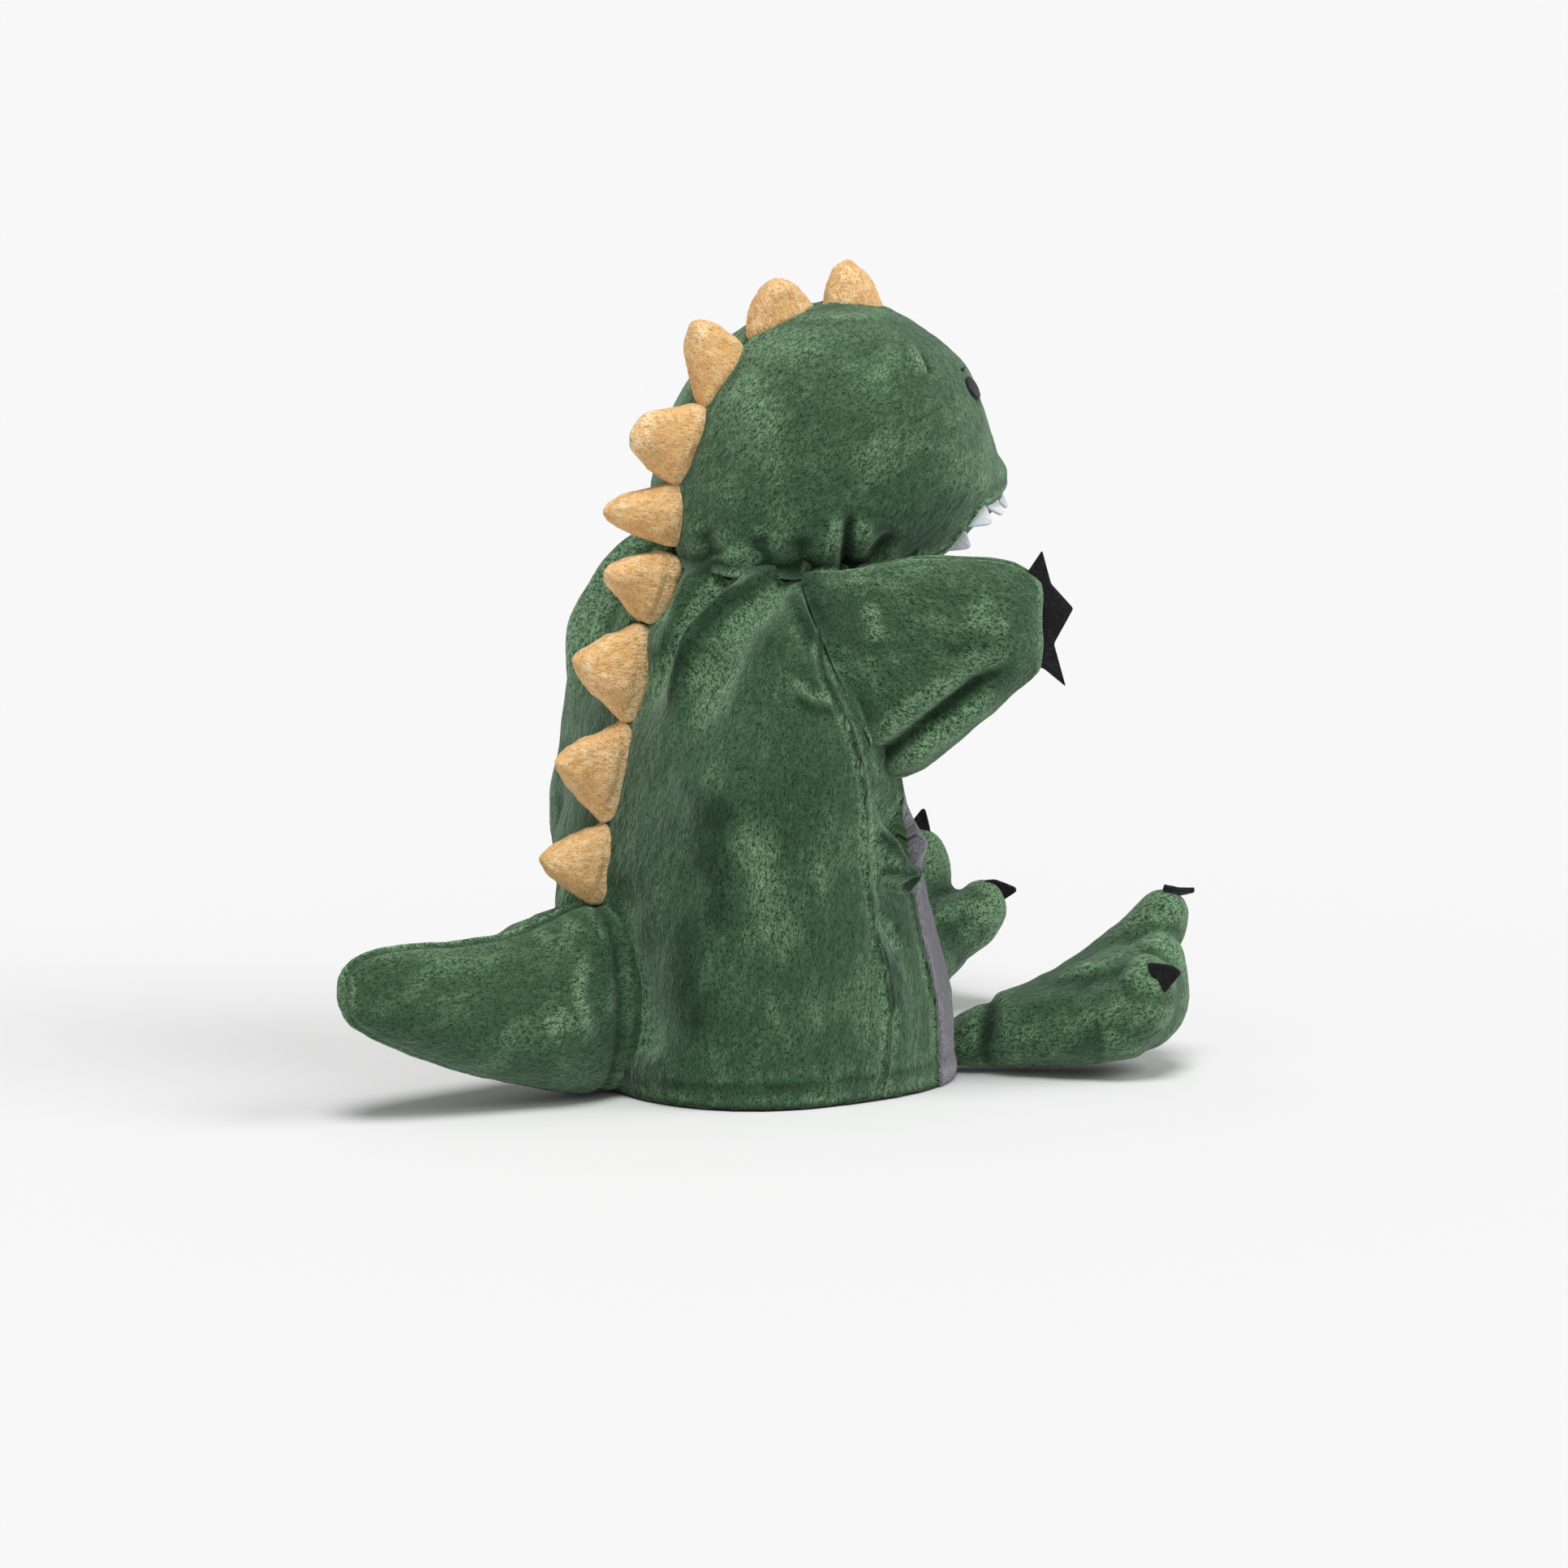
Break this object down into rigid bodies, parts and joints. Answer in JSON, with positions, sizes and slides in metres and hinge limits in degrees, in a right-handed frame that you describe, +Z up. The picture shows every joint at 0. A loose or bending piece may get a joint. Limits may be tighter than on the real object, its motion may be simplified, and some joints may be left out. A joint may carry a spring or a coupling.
{
  "type": "moving mouth puppet",
  "caption": "Plush dinosaur glove puppet with a moving mouth, stuffed arms, feet and tail, felt teeth and claws, and a soft crest of spikes down its back.",
  "frame": {"origin": "centre of the footprint of the whole toy, level with the hem it stands on", "axes": "+Z up, the puppet faces -Y, +X towards its left hand"},
  "size_m": [0.1996, 0.2936, 0.2683],
  "materials": {
    "green_plush": "short brushed pile",
    "tan_plush": "longer brushed pile",
    "grey_plush": "short brushed pile",
    "black_felt": "pressed felt",
    "white_felt": "pressed felt",
    "red_felt": "pressed felt",
    "lining": "plain weave",
    "wadding": "loose fibre",
    "board": "matt"
  },
  "bodies": {
    "torso": {"back_panel_left": "green_plush", "back_panel_right": "green_plush", "side_panel_left": "green_plush", "side_panel_right": "green_plush", "belly_panel": "grey_plush", "hem_facing": "green_plush", "body_lining": "lining", "crest_spike_6": "tan_plush", "crest_spike_7": "tan_plush", "crest_spike_8": "tan_plush", "crest_spike_9": "tan_plush"},
    "neck": {"neck_tape": "lining"},
    "head": {"head_panel_left": "green_plush", "head_panel_right": "green_plush", "head_wadding_left": "wadding", "head_wadding_right": "wadding", "finger_pocket": "lining", "palate_board": "board", "palate_felt": "red_felt", "upper_teeth": "white_felt", "eye_left": "black_felt", "eye_right": "black_felt", "brow_stitch_left": "black_felt", "brow_stitch_right": "black_felt", "crest_spike_1": "tan_plush", "crest_spike_2": "tan_plush", "crest_spike_3": "tan_plush", "crest_spike_4": "tan_plush", "crest_spike_5": "tan_plush"},
    "jaw": {"chin_panel": "green_plush", "chin_wadding": "wadding", "thumb_pocket": "lining", "jaw_board": "board", "jaw_felt": "red_felt"},
    "arm_left": {"arm_outer_left": "green_plush", "arm_inner_left": "green_plush", "arm_wadding_left": "wadding", "hand_claws_left": "black_felt"},
    "arm_right": {"arm_outer_right": "green_plush", "arm_inner_right": "green_plush", "arm_wadding_right": "wadding", "hand_claws_right": "black_felt"},
    "leg_left": {"foot_upper_left": "green_plush", "foot_sole_left": "green_plush", "foot_wadding_left": "wadding", "toe_claws_left": "black_felt"},
    "leg_right": {"foot_upper_right": "green_plush", "foot_sole_right": "green_plush", "foot_wadding_right": "wadding", "toe_claws_right": "black_felt"},
    "tail": {"tail_panel_left": "green_plush", "tail_panel_right": "green_plush", "tail_wadding": "wadding"}
  },
  "joints": [
    {"name": "neck_turn", "type": "hinge", "parent": "torso", "child": "neck", "pos_m": [0, -0.0139, 0.172], "axis": [0, 0, 1], "range_deg": [-18, 18]},
    {"name": "head_nod", "type": "hinge", "parent": "neck", "child": "head", "pos_m": [0, -0.0139, 0.172], "axis": [1, 0, 0], "range_deg": [-14, 5]},
    {"name": "jaw_open", "type": "hinge", "parent": "head", "child": "jaw", "pos_m": [0, -0.0509, 0.167], "axis": [1, 0, 0], "range_deg": [-28, 6]},
    {"name": "arm_swing_left", "type": "hinge", "parent": "torso", "child": "arm_left", "pos_m": [0.062, -0.0159, 0.1415], "axis": [-0.8387, -0.5446, 0], "range_deg": [-15, 18]},
    {"name": "arm_swing_right", "type": "hinge", "parent": "torso", "child": "arm_right", "pos_m": [-0.062, -0.0159, 0.1415], "axis": [-0.8387, 0.5446, 0], "range_deg": [-15, 18]},
    {"name": "leg_swing_left", "type": "hinge", "parent": "torso", "child": "leg_left", "pos_m": [0.037, -0.0749, 0.01], "axis": [-0.866, -0.5, 0], "range_deg": [-40, 25]},
    {"name": "leg_swing_right", "type": "hinge", "parent": "torso", "child": "leg_right", "pos_m": [-0.037, -0.0749, 0.01], "axis": [-0.8387, 0.5446, 0], "range_deg": [-40, 25]},
    {"name": "tail_wag", "type": "hinge", "parent": "torso", "child": "tail", "pos_m": [0, 0.0481, 0.031], "axis": [0, 0, 1], "range_deg": [-25, 25]}
  ]
}
